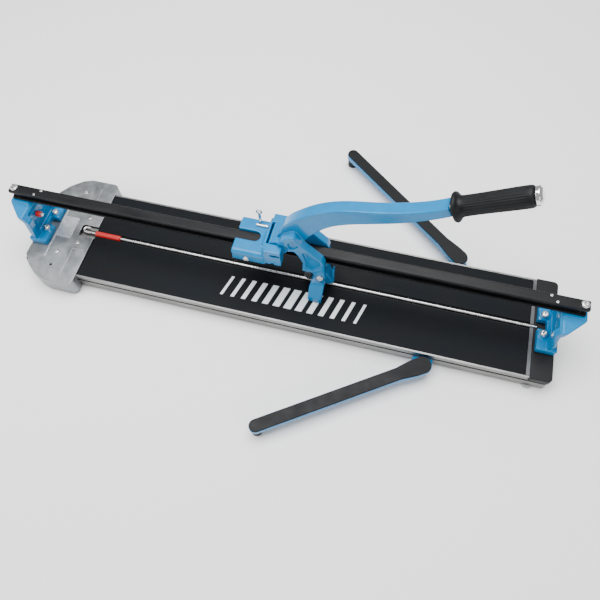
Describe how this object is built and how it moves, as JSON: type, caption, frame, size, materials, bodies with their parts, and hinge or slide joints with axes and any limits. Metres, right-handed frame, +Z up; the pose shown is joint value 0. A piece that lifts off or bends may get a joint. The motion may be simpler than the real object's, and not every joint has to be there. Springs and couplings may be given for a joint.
{
  "type": "tile cutter",
  "caption": "Manual tile cutter: a long flat base with padded bed and breaking rod, a rail on two castings above it, and a sliding carriage with a scoring and breaking lever.",
  "frame": {"origin": "on the floor under the middle of the base, where the centre foot rests", "axes": "+X along the rail towards the handle's end, +Y to the back, +Z up"},
  "size_m": [1.061, 0.6441, 0.405],
  "materials": {
    "blue_enamel": "semi_gloss",
    "black_paint": "semi_gloss",
    "brushed_aluminium": "satin",
    "grey_steel": "satin",
    "bright_steel": "semi_gloss",
    "chrome": "mirror",
    "brass": "satin",
    "black_rubber": "matte",
    "grey_rubber": "matte",
    "black_plastic": "satin",
    "red_plastic": "semi_gloss"
  },
  "bodies": {
    "base": {"base_tray": "brushed_aluminium", "left_end_cap": "black_plastic", "front_mat": "black_rubber", "rear_mat": "black_rubber", "rod_bed": "black_plastic", "breaking_rod": "bright_steel", "rod_sleeve": "red_plastic", "end_strip": "grey_steel", "end_block": "black_plastic", "base_feet": "grey_rubber", "head_plate": "grey_steel", "fence_strip": "bright_steel", "cover_plate": "bright_steel", "head_screws": "bright_steel", "rail": "black_paint", "rail_bolts": "bright_steel", "rail_screws": "bright_steel", "left_support": "blue_enamel", "right_support": "blue_enamel", "support_bolts": "bright_steel", "stop_buffer": "red_plastic", "buffer_bolt": "bright_steel", "front_bracket": "blue_enamel", "rear_bracket": "blue_enamel", "bracket_screws": "bright_steel", "arm_bolts": "bright_steel"},
    "carriage": {"carriage_body": "blue_enamel", "roller_axles": "bright_steel", "pivot_pin": "bright_steel", "pivot_plug": "black_plastic", "barrel_pin": "bright_steel"},
    "lock_screw": {"lock_screw": "bright_steel"},
    "lever": {"lever_casting": "blue_enamel", "pivot_bush": "brass", "handle_tang": "bright_steel", "grip": "black_rubber", "end_cap": "chrome", "wheel_holder": "grey_steel", "wheel_axle": "bright_steel", "foot_bolt": "bright_steel", "foot_nut": "bright_steel"},
    "scoring_wheel": {"scoring_wheel": "grey_steel"},
    "breaker_foot": {"breaker_foot": "blue_enamel"},
    "front_arm": {"front_swing_arm": "blue_enamel", "front_arm_pad": "black_rubber", "front_arm_foot": "black_rubber"},
    "rear_arm": {"rear_swing_arm": "blue_enamel", "rear_arm_pad": "black_rubber", "rear_arm_foot": "black_rubber"},
    "roller_front_left": {"roller_front_left": "bright_steel"},
    "roller_front_right": {"roller_front_right": "bright_steel"},
    "roller_rear_left": {"roller_rear_left": "bright_steel"},
    "roller_rear_right": {"roller_rear_right": "bright_steel"}
  },
  "joints": [
    {"name": "carriage_slide", "type": "slide", "parent": "base", "child": "carriage", "axis": [1, 0, 0], "range_m": [-0.425, 0.35]},
    {"name": "lever_hinge", "type": "hinge", "parent": "carriage", "child": "lever", "pos_m": [0.004, 0, 0.166], "axis": [0, 1, 0], "range_deg": [-10, 0]},
    {"name": "breaker_foot_hinge", "type": "hinge", "parent": "lever", "child": "breaker_foot", "pos_m": [0.0805, 0, 0.105], "axis": [0, 1, 0], "range_deg": [-4, 2]},
    {"name": "scoring_wheel_spin", "type": "hinge", "parent": "lever", "child": "scoring_wheel", "pos_m": [0.053, 0, 0.05665], "axis": [0, 1, 0], "continuous": true},
    {"name": "lock_screw_turn", "type": "hinge", "parent": "carriage", "child": "lock_screw", "pos_m": [-0.042, 0.03, 0.146], "axis": [0, 0, 1], "continuous": true},
    {"name": "front_arm_swing", "type": "hinge", "parent": "base", "child": "front_arm", "pos_m": [0.2895, -0.119, 0.029], "axis": [0, 0, 1], "range_deg": [-34.4, 55.6]},
    {"name": "rear_arm_swing", "type": "hinge", "parent": "base", "child": "rear_arm", "pos_m": [0.324, 0.119, 0.029], "axis": [0, 0, -1], "range_deg": [-39, 51]},
    {"name": "roller_front_left_spin", "type": "hinge", "parent": "carriage", "child": "roller_front_left", "pos_m": [-0.05, 0, 0.139], "axis": [0, 1, 0], "range_deg": [-3900, 3900]},
    {"name": "roller_front_right_spin", "type": "hinge", "parent": "carriage", "child": "roller_front_right", "pos_m": [-0.002, 0, 0.139], "axis": [0, 1, 0], "range_deg": [-3900, 3900]},
    {"name": "roller_rear_left_spin", "type": "hinge", "parent": "carriage", "child": "roller_rear_left", "pos_m": [-0.05, 0, 0.139], "axis": [0, 1, 0], "range_deg": [-3900, 3900]},
    {"name": "roller_rear_right_spin", "type": "hinge", "parent": "carriage", "child": "roller_rear_right", "pos_m": [-0.002, 0, 0.139], "axis": [0, 1, 0], "range_deg": [-3900, 3900]}
  ],
  "couplings": [
    {"joint": "roller_front_left_spin", "follows": "carriage_slide", "rad_per_m": 153.85},
    {"joint": "roller_front_right_spin", "follows": "carriage_slide", "rad_per_m": 153.85},
    {"joint": "roller_rear_left_spin", "follows": "carriage_slide", "rad_per_m": 153.85},
    {"joint": "roller_rear_right_spin", "follows": "carriage_slide", "rad_per_m": 153.85}
  ]
}
